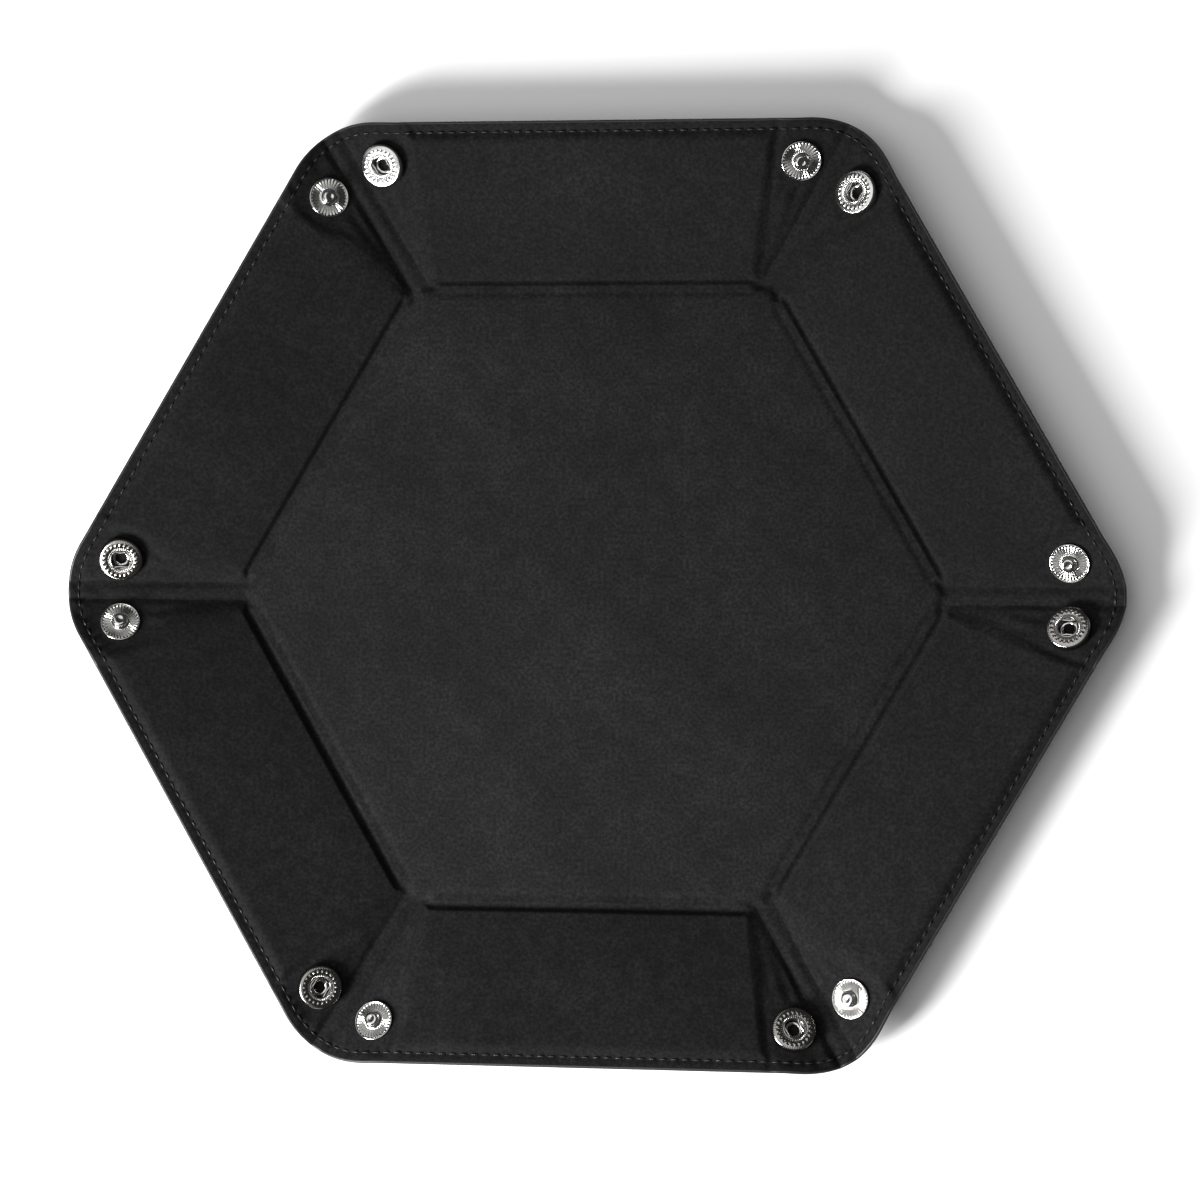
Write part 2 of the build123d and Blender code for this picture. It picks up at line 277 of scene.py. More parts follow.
# How deep the lining sinks along the two hinge lines
HINGE_DEPTH = {1: (0.3, 0.3), 2: (0.3, 0.1), 3: (0.0, 0.15), 4: (0.0, 0.0), 5: (0.1, 0.3), 6: (0.05, 0.3)}
# How far the lining runs on from the boards before it lies down on the wedge
TENT = {1: (0.4, 0.3), 2: (0.1, 0.9), 3: (1.0, 0.8), 4: (1.0, 1.0), 5: (0.6, 0.2), 6: (0.8, 0.2)}
# How high the small puckers beside the seam are
PUCKER = {1: (0.30, 0.30), 2: (0.12, 0.12), 3: (0.12, 0.12), 4: (0.40, 0.40), 5: (0.32, 0.32), 6: (0.12, 0.12)}


def by_corner(i, x, aside, table):
    """A corner's value at points of wall i, or of corner i's strip where aside is given."""
    if aside is None:
        return np.where(np.asarray(x) > 0, table[i][0], table[i % 6 + 1][1])
    share = np.clip(0.5 + np.asarray(aside) / 4, 0, 1)
    return table[i][0] * (1 - share) + table[i][1] * share


def billow(x, y):
    """Lift of the whole loose wedge between its hinge line and crease, flat where the snaps sit."""
    along, aside = crease_coords(x, y)
    past = past_hinge(x, y)
    width = np.maximum(past + np.abs(aside) - CREASE_HALF, 0.01)
    share = np.clip(past / width, 0, 1)
    lift = 0.05 * width * np.sin(math.pi * share**0.75) * ease((along - 3) / 8)
    return lift * ease((snap_distance(x, y) - 6.0) / 5)


def snap_distance(x, y):
    along, aside = crease_coords(x, y)
    return np.hypot(along - SNAP_ALONG, np.abs(aside) - SNAP_ASIDE)


STITCH_PULL = 0.32  # how far the thread pulls the lining in
PRESSED_HEIGHT = 0.30  # the lining's height in a fully pressed crease line
RIM_HEIGHT = 0.02  # where the two faces meet at the sheet's edge


def rolled(height, share):
    """A height that rolls over to the sheet's edge, where share falls from 1 to 0."""
    share = np.clip(share, 0, 1)
    return RIM_HEIGHT + (height - RIM_HEIGHT) * np.sqrt(np.clip(1 - (1 - share) ** 2, 0, 1))


def face_heights(i, x, y, strip_aside=None):
    """Heights of the lining's face and the cover's face over the glue line, at points of wall i. On a
    crease strip, strip_aside is the signed distance from the strip's centre line."""
    gx, gy = flat_place(i, x, y)
    corner = i if strip_aside is None or np.mean(x) > 0 else i % 6 + 1
    pressed = by_corner(corner, x, strip_aside, CREASE_DEPTH)
    pucker = by_corner(corner, x, strip_aside, PUCKER)
    along, own_aside = crease_coords(x, y)
    aside = own_aside if strip_aside is None else strip_aside
    board = off_board(x, y)
    inside = edge_in(x, y)
    to_crease = np.abs(np.abs(aside) - CREASE_HALF)
    to_crease = np.where(along > -CHORD_IN, to_crease, np.hypot(to_crease, along + CHORD_IN))

    # The lining drops off each board, further out where it tents over the wedge, and dips at a fold.
    wedge = past_hinge(x, y) + np.abs(own_aside) - CREASE_HALF
    tent = np.clip(wedge + BOARD_HINGE_GAP - 2.1, 0, 6) * ease((snap_distance(x, y) - 6) / 9)
    tent = tent * ease((past_hinge(x, y) + 4) / 3) * by_corner(corner, x, strip_aside, TENT)
    over_board = 1 - ease((board + 1.0) / (3.1 + tent))
    over_board = 1 - (1 - over_board) * (1 - 0.7 * ease((0.4 - y) / 2.4))
    beside_fold = ease((HINGE_FOOT - 0.5 - np.abs(x)) / 3) * (1 - ease((np.abs(y) - 4) / 2))
    over_board = over_board + (fold_profile(y, 0.12 * waves(gx, gy, 23, 2, 5)) - over_board) * beside_fold
    lining = LINING_T + BOARD_T * over_board
    # The lining sinks along each hinge line, and crowns between a corner's two crease lines.
    bent = by_corner(corner, x, strip_aside, HINGE_DEPTH)
    lining = lining - bent * np.exp(-(((past_hinge(x, y) + 0.6) / 1.4) ** 2)) * ease((along - 12) / 18)
    crown = np.cos(np.clip(np.abs(aside) / CREASE_HALF, 0, 1) * math.pi / 2) ** 2
    lining = lining + 0.22 * crown * ease((along - 2) / 6)

    # It ripples where it is loose on the wedge, but lies flat under the snaps.
    loose = (1 - over_board) * ease((along - 2) / 8) * ease((past_hinge(x, y) + 3) / 4)
    seated = ease((snap_distance(x, y) - 5.6) / 3.5)
    ripple = 0.20 * wrinkles(along, aside) + 0.26 * waves(gx, gy, 15, 0, 5)
    ripple = ripple + pucker * waves(gx, gy, 4.4, 6, 6) * ease((along - 36) / 6) * np.exp(-((aside / 7) ** 2))
    lining = lining + loose * seated * ripple * ease((inside - 0.6) / 2)
    lining = lining + 0.10 * waves(gx, gy, 62, 5, 4) * over_board + 0.04 * waves(gx, gy, 19, 9, 5) * over_board

    # The seam pulls it down between the needle holes, the crease lines press it, and its rim rolls over.
    pull = np.exp(-(((inside - STITCH_IN) / 0.75) ** 2))
    tug = 0.7 + 0.3 * np.cos(2 * math.pi * seam_phase(x, y))
    lining = lining - STITCH_PULL * pull * tug
    soft = 2.1 + 0.5 * waves(gx, gy, 13, 3, 4)
    deep = pressed * (0.85 + 0.3 * waves(gx, gy, 21, 8, 4)) * ease((along + 6) / 8)
    lining = lining - (lining - PRESSED_HEIGHT) * deep * (1 - ease(to_crease / soft))
    lining = rolled(lining, inside / 0.55) + billow(x, y)

    cover = -COVER_T + 0.10 * ease((board + 0.3) / 1.2) + 0.10 * pull * tug
    cover = cover + loose * seated * 0.7 * ripple * ease((inside - 1) / 3)
    cover = rolled(cover, inside / 0.5) + billow(x, y)
    return lining, cover


# ---------------------------------------------------------------- meshes


def add_object(name, vertices, faces, material):
    """A smooth-shaded mesh object from points in millimetres."""
    mesh = bpy.data.meshes.new(name)
    mesh.from_pydata([tuple(v) for v in np.asarray(vertices, float) * MM], [], faces)
    mesh.validate()
    mesh.polygons.foreach_set("use_smooth", [True] * len(mesh.polygons))
    mesh.materials.append(material)
    thing = bpy.data.objects.new(name, mesh)
    bpy.context.scene.collection.objects.link(thing)
    return thing


class Patchwork:
    """Grids of points joined into one sheet, with shared points along their common borders."""

    def __init__(self):
        self.places, self.points, self.faces, self.edge = {}, [], [], []
        self.area, self.low, self.high = 0, np.full(2, 1e9), np.full(2, -1e9)

    def vertex(self, p):
        key = (round(p[0], 3), round(p[1], 3), round(p[2], 3))
        if key not in self.places:
            self.places[key] = len(self.points)
            self.points.append(p)
        return self.places[key]

    def grid(self, points, up, edge_rows=0):
        rows, columns = points.shape[:2]
        ids = [[self.vertex(points[r, c]) for c in range(columns)] for r in range(rows)]
        for r in range(rows - 1):
            for c in range(columns - 1):
                quad = [ids[r][c], ids[r][c + 1], ids[r + 1][c + 1], ids[r + 1][c]]
                quad = list(dict.fromkeys(quad))
                if len(quad) > 2:
                    self.faces.append(quad if up else quad[::-1])
                    self.edge.append(r >= rows - 1 - edge_rows)

    def measure(self, x, y):
        """Adds a grid's flat area and extent."""
        d = np.stack(np.broadcast_arrays(x, y), axis=-1)
        across, down = d[1:, 1:] - d[:-1, :-1], d[1:, :-1] - d[:-1, 1:]
        self.area += 0.5 * np.abs(across[..., 0] * down[..., 1] - across[..., 1] * down[..., 0]).sum()
        self.low = np.minimum(self.low, d.reshape(-1, 2).min(axis=0))
        self.high = np.maximum(self.high, d.reshape(-1, 2).max(axis=0))

    def build(self, name, material):
        thing = add_object(name, self.points, self.faces, material)
        if any(self.edge):
            thing.data.materials.append(edge_paint)
            thing.data.polygons.foreach_set("material_index", [int(e) for e in self.edge])
        return thing


def spaced(start, end, step):
    return list(np.linspace(start, end, max(2, int(round(abs(end - start) / step)) + 1)))


def joined(*runs):
    values = []
    for run in runs:
        values += [v for v in run if not values or abs(v - values[-1]) > 1e-9]
    return np.array(values)


# Rows of points near the sheet's edge, by distance in from it: close together at the seam and the rim
EDGE_STEPS = [7, 6, 5.2, 4.6, 4.1, 3.7, 3.4, 3.15, 2.9, 2.65, 2.4, 2.0]
EDGE_STEPS += [1.5, 1.1, 0.8, 0.55, 0.38, 0.24, 0.13, 0.05, 0]
EDGE_ROWS = 5  # rows of faces round the rim, in edge paint
BASE_MARGIN = 5.0  # how far a wall's piece of sheet runs in over the base
FOOT_TOP = 2.0  # how far out the foot of a wall's piece runs from corner to corner, before the flaps begin
END_MARGIN = 4.0  # how far short of the hinge line a wall's piece ends


def wall_end(y):
    """Flat x where a wall's piece ends, beside its flap."""
    return hinge_x(y) - END_MARGIN


def corner_end(y):
    """Flat x of the line that runs along the crease strip's side."""
    return HINGE_FOOT + y * math.tan(math.radians(30))


def wall_patch(i, face, up):
    """One face of a wall, its fold and a margin of the base."""
    patch = Patchwork()
    rows = joined(
        spaced(-BASE_MARGIN, FOOT_TOP, 0.3),
        spaced(FOOT_TOP, 5.0, 0.4),
        spaced(5.0, WALL_WIDTH - EDGE_STEPS[0], 1.4),
        [WALL_WIDTH - e for e in EDGE_STEPS],
    )
    share = np.linspace(-1, 1, 161)
    x = share[None, :] * wall_end(rows)[:, None]
    y = np.broadcast_to(rows[:, None], x.shape)
    patch.measure(x, y)
    patch.grid(fold_wall(i, x, y, face_heights(i, x, y)[face]), up, EDGE_ROWS)
    foot = rows[rows <= FOOT_TOP + 1e-9]
    for side in (-1, 1):
        share = np.linspace(0, 1, 12) if side > 0 else np.linspace(1, 0, 12)
        near, far = wall_end(foot)[:, None], corner_end(foot)[:, None]
        x = side * (near + (far - near) * share[None, :])
        y = np.broadcast_to(foot[:, None], x.shape)
        patch.measure(x, y)
        patch.grid(fold_wall(i, x, y, face_heights(i, x, y)[face]), up)
    return patch


def outer_points(count):
    """Flat points along the edge from a wall piece's end to the crease line."""
    start = wall_end(WALL_WIDTH)
    straight = SEAM_ARC_X - start
    last = math.asin(CREASE_HALF / CORNER_R)
    total = straight + CORNER_R * (math.radians(30) - last)
    points = []
    for s in np.linspace(0, total, count):
        if s <= straight:
            points.append((start + s, WALL_WIDTH))
        else:
            a = math.radians(30) - (s - straight) / CORNER_R
            points.append(from_crease(ARC_CENTRE + CORNER_R * math.cos(a), CORNER_R * math.sin(a)))
    return np.array(points)


def flap_grid():
    """Flat grid over a flap from beside the hinge line to the crease line, tip row first."""
    outer = outer_points(44)
    share = np.linspace(0, 1, len(outer))
    inner_x = wall_end(FOOT_TOP) + (corner_end(FOOT_TOP) - wall_end(FOOT_TOP)) * share
    inner = np.stack([inner_x, np.full_like(inner_x, FOOT_TOP)], axis=-1)
    length = np.linalg.norm(outer - inner, axis=1).mean()
    out = joined(
        spaced(0, 2.4, 0.4),
        spaced(2.4, length - EDGE_STEPS[0], 0.9),
        [length - e for e in EDGE_STEPS],
    )
    out = out / length
    grid = inner[None] + (outer - inner)[None] * out[:, None, None]
    return grid[..., 0], grid[..., 1]


def flap_patch(i, side, face, up):
    patch = Patchwork()
    x, y = flap_grid()
    n = face_heights(i, side * x, y)[face]
    order = slice(None) if side > 0 else slice(None, None, -1)
    patch.measure(x, y)
    patch.grid(fold_wall(i, side * x[:, order], y[:, order], n[:, order]), up, EDGE_ROWS)
    if face == COVER:  # the cover turns up along the crease line, closing the gap to the strip
        angles = np.radians(np.linspace(0, 96, 7))
        along, _ = crease_coords(x[:, -1], y[:, -1])
        reach = -n[:, -1:]
        bx, by = from_crease(along[:, None], CREASE_HALF - reach * np.sin(angles))
        bead = on_flap(i, side, bx, by, -reach * np.cos(angles))
        patch.grid(bead[:, order], up)
    return patch


def wall_before(i):
    return (i - 2) % 6 + 1


def strip_patch(i, face, up):
    """One face of a crease strip, from the base's corner to the outer edge."""
    patch = Patchwork()
    aside = np.linspace(-CREASE_HALF, CREASE_HALF, 17)
    inner = -(BASE_MARGIN / COS30 - CHORD_IN) - np.abs(aside) * math.tan(math.radians(30))
    outer = CHORD_IN + ARC_CENTRE + np.sqrt(CORNER_R**2 - aside**2)
    length = CHORD_IN + ARC_CENTRE + CORNER_R
    low = np.array(spaced(0, 1, 0.05))
    rows = [inner + (3.0 - inner) * t for t in low]
    middle = np.array(spaced(3.0, length - EDGE_STEPS[0], 0.9))[1:]
    rows += [np.full_like(aside, v) for v in middle]
    rows += [outer - e for e in EDGE_STEPS[1:]]
    out = np.array(rows)
    across = np.broadcast_to(aside[None, :], out.shape)
    x, y = from_crease(out - CHORD_IN, np.abs(across))
    stud_half = face_heights(i, x, y, across)[face]
    socket_half = face_heights(wall_before(i), -x, y, across)[face]
    n = np.where(across < 0, stud_half, socket_half)
    patch.measure(across, out)
    patch.grid(fold_strip(i, across, out, n), up, EDGE_ROWS)
    return patch


def base_patch(face, up):
    """One face of the base inside the walls' margins."""
    patch = Patchwork()
    apothem = FOLD_ACROSS / 2 - BASE_MARGIN
    rings = joined(spaced(0, 1 - 4 / apothem, 2.2 / apothem), spaced(1 - 4 / apothem, 1, 0.6 / apothem))
    share = np.linspace(-1, 1, 61)
    for i in range(1, 7):
        yy = rings[:, None] * apothem
        x = share[None, :] * yy * math.tan(math.radians(30))
        y = np.broadcast_to(yy - FOLD_ACROSS / 2, x.shape)
        flat = spin(np.stack([x, yy * np.ones_like(x), np.zeros_like(x)], axis=-1), 60 * i)
        patch.measure(flat[..., 0], flat[..., 1])
        patch.grid(fold_wall(i, x, y, face_heights(i, x, y)[face]), up)
    return patch


def tube(path, radius, sides, taper=None):
    """Points and faces of a tube along a path, with its cross direction level, capped at both ends."""
    path = np.asarray(path, float)
    ahead = np.gradient(path, axis=0)
    ahead /= np.linalg.norm(ahead, axis=1)[:, None]
    across = np.cross(ahead, (0, 0, 1))
    across /= np.linalg.norm(across, axis=1)[:, None]
    over = np.cross(across, ahead)
    r = radius * (np.ones(len(path)) if taper is None else taper)
    turn = np.linspace(0, 2 * math.pi, sides, endpoint=False)
    ring = np.cos(turn)[None, :, None] * across[:, None] + np.sin(turn)[None, :, None] * over[:, None]
    points = (path[:, None] + r[:, None, None] * ring).reshape(-1, 3)
    faces = []
    for k in range(len(path) - 1):
        for j in range(sides):
            a, b = k * sides + j, k * sides + (j + 1) % sides
            faces.append((a, b, b + sides, a + sides))
    last = (len(path) - 1) * sides
    faces.append(tuple(range(sides))[::-1])
    faces.append(tuple(range(last, last + sides)))
    return points, [f[::-1] for f in faces]


class Parts:
    """Several closed shapes gathered into one mesh."""

    def __init__(self):
        self.points, self.faces = [], []

    def add(self, points, faces):
        base = len(self.points)
        self.points += [tuple(p) for p in np.asarray(points).reshape(-1, 3)]
        self.faces += [tuple(base + v for v in f) for f in faces]


# ---------------------------------------------------------------- materials


def new_material(name):
    material = bpy.data.materials.new(name)
    material.use_nodes = True
    tree = material.node_tree
    shader = tree.nodes["Principled BSDF"]
    coords = tree.nodes.new("ShaderNodeTexCoord")
    return material, tree, shader, coords.outputs["Object"]


def noise(tree, place, size_mm, detail=3.0, rough=0.55, stretch=None):
    """Noise whose features are about size_mm across."""
    node = tree.nodes.new("ShaderNodeTexNoise")
    node.inputs["Scale"].default_value = 1000.0 / size_mm
    node.inputs["Detail"].default_value = detail
    node.inputs["Roughness"].default_value = rough
    if stretch:
        mapping = tree.nodes.new("ShaderNodeMapping")
        mapping.inputs["Scale"].default_value = stretch
        tree.links.new(place, mapping.inputs["Vector"])
        place = mapping.outputs["Vector"]
    tree.links.new(place, node.inputs["Vector"])
    return node.outputs["Fac"]


def turned_place(tree, place, degrees):
    """Coordinates turned about +Z, so that a stretched texture runs slantwise."""
    mapping = tree.nodes.new("ShaderNodeMapping")
    mapping.inputs["Rotation"].default_value = (0, 0, math.radians(degrees))
    tree.links.new(place, mapping.inputs["Vector"])
    return mapping.outputs["Vector"]


def ramp(tree, value, stops):
    node = tree.nodes.new("ShaderNodeValToRGB")
    elements = node.color_ramp.elements
    while len(elements) < len(stops):
        elements.new(0.5)
    for element, (position, shade) in zip(elements, stops):
        element.position = position
        element.color = (*shade, 1) if isinstance(shade, tuple) else (shade, shade, shade, 1)
    tree.links.new(value, node.inputs["Fac"])
    return node.outputs["Color"]


def combine(tree, first, second, share, blend="MIX"):
    node = tree.nodes.new("ShaderNodeMix")
    node.data_type = "RGBA"
    node.blend_type = blend
    node.inputs["Factor"].default_value = share
    tree.links.new(first, node.inputs["A"])
    tree.links.new(second, node.inputs["B"])
    return node.outputs["Result"]


def bump(tree, shader, height, strength, depth_mm, under=None):
    node = tree.nodes.new("ShaderNodeBump")
    node.inputs["Strength"].default_value = strength
    node.inputs["Distance"].default_value = depth_mm * MM
    tree.links.new(height, node.inputs["Height"])
    if under:
        tree.links.new(under, node.inputs["Normal"])
    tree.links.new(node.outputs["Normal"], shader.inputs["Normal"])
    return node.outputs["Normal"]


def painted_wall_shade(tree, place):
    """Painted light and shade: a lighter tone over the base and a darker one over the walls, as the base is lit
    and the walls shaded, changing softly at the folds.
    """
    reach = None
    for angle in (30, 90, 150):
        along = tree.nodes.new("ShaderNodeVectorMath")
        along.operation = "DOT_PRODUCT"
        along.inputs[1].default_value = (math.cos(math.radians(angle)), math.sin(math.radians(angle)), 0)
        tree.links.new(place, along.inputs[0])
        size = tree.nodes.new("ShaderNodeMath")
        size.operation = "ABSOLUTE"
        tree.links.new(along.outputs["Value"], size.inputs[0])
        if reach is None:
            reach = size.outputs["Value"]
            continue
        larger = tree.nodes.new("ShaderNodeMath")
        larger.operation = "MAXIMUM"
        tree.links.new(reach, larger.inputs[0])
        tree.links.new(size.outputs["Value"], larger.inputs[1])
        reach = larger.outputs["Value"]
    scaled = tree.nodes.new("ShaderNodeMath")
    scaled.operation = "MULTIPLY"
    scaled.inputs[1].default_value = 1 / (FOLD_ACROSS * MM)
    tree.links.new(reach, scaled.inputs[0])
    return ramp(tree, scaled.outputs["Value"], [(0.482, 1.04), (0.512, 0.76)])


def make_suede():
    material, tree, shader, place = new_material("suede")
    fibre = noise(tree, place, 0.9, 3, 0.6)
    nap = noise(tree, place, 4.5, 4, 0.6)
    brushed = noise(tree, turned_place(tree, place, 42), 30, 5, 0.62, (0.35, 1.0, 1.0))
    shade = ramp(tree, brushed, [(0.30, 0.0066), (0.72, 0.0116)])
    mottle = ramp(tree, nap, [(0.34, 0.72), (0.68, 1.26)])
    fine = ramp(tree, fibre, [(0.36, 0.58), (0.50, 0.97), (0.66, 1.50)])
    colour = combine(tree, combine(tree, shade, mottle, 1.0, "MULTIPLY"), fine, 1.0, "MULTIPLY")
    # Painted shade: the walls darker and the base a little lighter, as they are lit
    colour = combine(tree, colour, painted_wall_shade(tree, place), 1.0, "MULTIPLY")
    tree.links.new(colour, shader.inputs["Base Color"])
    tree.links.new(ramp(tree, nap, [(0.3, 0.78), (0.7, 0.94)]), shader.inputs["Roughness"])
    shader.inputs["Specular IOR Level"].default_value = 0.10
    shader.inputs["Sheen Weight"].default_value = 0.04
    shader.inputs["Sheen Roughness"].default_value = 0.4
    coarse = bump(tree, shader, nap, 0.35, 0.30)
    bump(tree, shader, fibre, 0.6, 0.16, coarse)
    return material


def make_leather():
    material, tree, shader, place = new_material("grained_cover")
    cells = tree.nodes.new("ShaderNodeTexVoronoi")
    cells.feature = "DISTANCE_TO_EDGE"
    cells.inputs["Scale"].default_value = 1000.0 / 1.1
    warp = tree.nodes.new("ShaderNodeVectorMath")
    warp.operation = "MULTIPLY_ADD"
    warp.inputs[1].default_value = (0.0006, 0.0006, 0.0006)
    colour_noise = tree.nodes.new("ShaderNodeTexNoise")
    colour_noise.inputs["Scale"].default_value = 1000.0 / 2.2
    tree.links.new(place, colour_noise.inputs["Vector"])
    tree.links.new(colour_noise.outputs["Color"], warp.inputs[0])
    tree.links.new(place, warp.inputs[2])
    tree.links.new(warp.outputs["Vector"], cells.inputs["Vector"])
    grain = ramp(tree, cells.outputs["Distance"], [(0.0, 0.0), (0.22, 1.0)])
    broad = noise(tree, place, 14, 3)
    shade = ramp(tree, broad, [(0.3, 0.0120), (0.7, 0.0175)])
    pores = ramp(tree, cells.outputs["Distance"], [(0.0, 0.55), (0.2, 1.0)])
    tree.links.new(combine(tree, shade, pores, 1.0, "MULTIPLY"), shader.inputs["Base Color"])
    tree.links.new(ramp(tree, broad, [(0.3, 0.44), (0.7, 0.58)]), shader.inputs["Roughness"])
    shader.inputs["Specular IOR Level"].default_value = 0.42
    coarse = bump(tree, shader, noise(tree, place, 0.5, 3), 0.25, 0.06)
    bump(tree, shader, grain, 0.55, 0.09, coarse)
    return material


def make_edge_paint():
    material, tree, shader, place = new_material("edge_paint")
    rough = noise(tree, place, 0.8, 4)
    tree.links.new(ramp(tree, rough, [(0.3, 0.0075), (0.7, 0.0125)]), shader.inputs["Base Color"])
    tree.links.new(ramp(tree, rough, [(0.3, 0.42), (0.7, 0.62)]), shader.inputs["Roughness"])
    shader.inputs["Specular IOR Level"].default_value = 0.4
    bump(tree, shader, rough, 0.5, 0.12)
    return material


def make_thread():
    material, tree, shader, place = new_material("thread")
    twist = tree.nodes.new("ShaderNodeTexWave")
    twist.inputs["Scale"].default_value = 1000.0 / 1.6
    twist.inputs["Distortion"].default_value = 2.0
    tree.links.new(place, twist.inputs["Vector"])
    fibres = noise(tree, place, 0.2, 3)
    worn = noise(tree, place, 3.0, 2)
    shade = ramp(tree, worn, [(0.42, 0.0015), (0.62, 0.009)])
    fuzz = ramp(tree, fibres, [(0.3, 0.6), (0.7, 1.3)])
    tree.links.new(combine(tree, shade, fuzz, 1.0, "MULTIPLY"), shader.inputs["Base Color"])
    tree.links.new(ramp(tree, worn, [(0.42, 0.70), (0.64, 0.36)]), shader.inputs["Roughness"])
    shader.inputs["Specular IOR Level"].default_value = 0.45
    bump(tree, shader, twist.outputs["Fac"], 0.5, 0.08)
    return material


def make_nickel(name, tint):
    material, tree, shader, place = new_material(name)
    smudge = noise(tree, place, 2.4, 4)
    scratch = noise(tree, place, 0.5, 2, 0.5, (1.0, 0.16, 1.0))
    dull = tuple(0.84 * c for c in tint)
    tree.links.new(ramp(tree, smudge, [(0.25, dull), (0.65, tint)]), shader.inputs["Base Color"])
    clouded = ramp(tree, smudge, [(0.3, 0.09), (0.75, 0.17)])
    scuffed = ramp(tree, scratch, [(0.45, 0.09), (0.62, 0.22)])
    tree.links.new(combine(tree, clouded, scuffed, 0.35), shader.inputs["Roughness"])
    shader.inputs["Metallic"].default_value = 1.0
    bump(tree, shader, scratch, 0.10, 0.02)
    return material


def make_board():
    material, tree, shader, place = new_material("grey_board")
    pulp = noise(tree, place, 1.2, 5, 0.65)
    fleck = noise(tree, place, 0.35, 3)
    shade = ramp(tree, pulp, [(0.3, (0.17, 0.155, 0.135)), (0.7, (0.27, 0.25, 0.225))])
    specks = ramp(tree, fleck, [(0.36, 0.7), (0.5, 1.0)])
    tree.links.new(combine(tree, shade, specks, 1.0, "MULTIPLY"), shader.inputs["Base Color"])
    tree.links.new(ramp(tree, pulp, [(0.3, 0.85), (0.7, 0.97)]), shader.inputs["Roughness"])
    bump(tree, shader, pulp, 0.4, 0.1)
    return material


suede = make_suede()
leather = make_leather()
edge_paint = make_edge_paint()
thread = make_thread()
nickel = make_nickel("nickel", (0.55, 0.545, 0.53))
# A darker copy of the nickel: painted shade for the sockets that catch less of the light
shaded_nickel = make_nickel("shaded_nickel", (0.30, 0.29, 0.275))
grey_board = make_board()


# ---------------------------------------------------------------- sheets

KINDS = ((LINING, "lining", suede), (COVER, "cover", leather))


def joint_line(name):
    """A joint's point and axis, in metres."""
    found = next(j for j in frame["joints"] if j["name"] == name)
    return np.array(found["pos_m"], float), np.array(found["axis"], float)


def blend_over(piece, joint, towards, reach):
    """Works out the ends of a span either side of a joint's line, towards a point in mm, and bakes the piece's
    transform.
    """
    pos, axis = joint_line(joint)
    axis /= np.linalg.norm(axis)
    d = np.asarray(towards) * MM - pos
    d -= (d @ axis) * axis
    d /= np.linalg.norm(d)
    start, end = pos - d * reach * MM, pos + d * reach * MM
    tuple(start)
    tuple(end)
    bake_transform(piece)


for face, kind, finish in KINDS:
    patch = base_patch(face, face == LINING)
    piece = patch.build(f"base_{kind}_sheet", finish)
    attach(piece, "base")
    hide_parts(f"base_{kind}")
    for i in range(1, 7):
        patch = wall_patch(i, face, face == LINING)
        piece = patch.build(f"wall_{i}_{kind}_sheet", finish)
        outward = fold_wall(i, 0.0, 0.5 * WALL_WIDTH, 0.0) - fold_wall(i, 0.0, -0.5 * WALL_WIDTH, 0.0)
        foot, _ = joint_line(f"wall_{i}_fold")
        blend_over(piece, f"wall_{i}_fold", foot / MM + 0.5 * outward, FOLD_REACH)
        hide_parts(f"wall_{i}_{kind}")
        for side, snap in ((1, "stud"), (-1, "socket")):
            patch = flap_patch(i, side, face, face == LINING)
            piece = patch.build(f"wall_{i}_{snap}_flap_{kind}", finish)
            crease_side = on_flap(i, side, *from_crease(SNAP_ALONG, SNAP_ASIDE), 0.0)
            blend_over(
                piece, f"{snap}_flap_{i}_fold", crease_side, HINGE_REACH
            )
            if face == LINING:
                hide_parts(f"wall_{i}_{snap}_flap")
        patch = strip_patch(i, face, face == LINING)
        piece = patch.build(f"corner_{i}_crease_{kind}", finish)
        tip = fold_strip(i, 0.0, ARC_CENTRE, 0.0)
        blend_over(piece, f"crease_{i}_rise", tip, CHORD_REACH)
        if face == LINING:
            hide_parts(f"corner_{i}_crease")


# ---------------------------------------------------------------- lockstitch seam

STITCH_LENGTH = 2.35
STITCH_STEPS = np.linspace(-1, 1, 9)


def stitch_tubes(centre, place, heights):
    """One stitch on each face: out of one needle hole, over the sheet and into the next."""
    s = centre + STITCH_STEPS * STITCH_LENGTH / 2
    taper = np.sqrt(np.clip(1.12 - STITCH_STEPS**2, 0.12, 1))
    lift = THREAD_R * 0.75 - 0.42 * np.abs(STITCH_STEPS) ** 3
    x, y = seam_place(np.abs(s))
    lining, cover = heights(x, y)
    for surface, sign in ((lining, 1), (cover, -1)):
        yield tube(place(s, x, y, surface + sign * lift), THREAD_R, 8, taper)


def seam_for(i):
    """Stitches of a wall, its two flaps and a corner's strip, each gathered into its own mesh."""
    wall, flaps, strip = Parts(), {1: Parts(), -1: Parts()}, Parts()
    for side in (1, -1):
        for k in range(STITCHES_PER_HALF):
            centre = CREASE_HALF + (k + 0.5) * PITCH
            x, y = seam_place(np.array(centre))
            home = flaps[side] if x > wall_end(y) else wall
            for shape in stitch_tubes(
                centre,
                lambda s, x, y, n: fold_wall(i, side * x, y, n),
                lambda x, y: face_heights(i, side * x, y),
            ):
                home.add(*shape)
    for k in range(STITCHES_PER_STRIP):
        for side in (1, -1):
            centre = side * (k + 0.5) * CREASE_HALF / STITCHES_PER_STRIP

            def on_strip(s, x, y, n):
                along, aside = crease_coords(x, y)
                return fold_strip(i, np.sign(s) * aside, along + CHORD_IN, n)

            def strip_heights(x, y):
                _, aside = crease_coords(x, y)
                home = i if side < 0 else wall_before(i)
                return face_heights(home, -side * x, y, side * aside)

            for shape in stitch_tubes(centre, on_strip, strip_heights):
                strip.add(*shape)
    return wall, flaps, strip


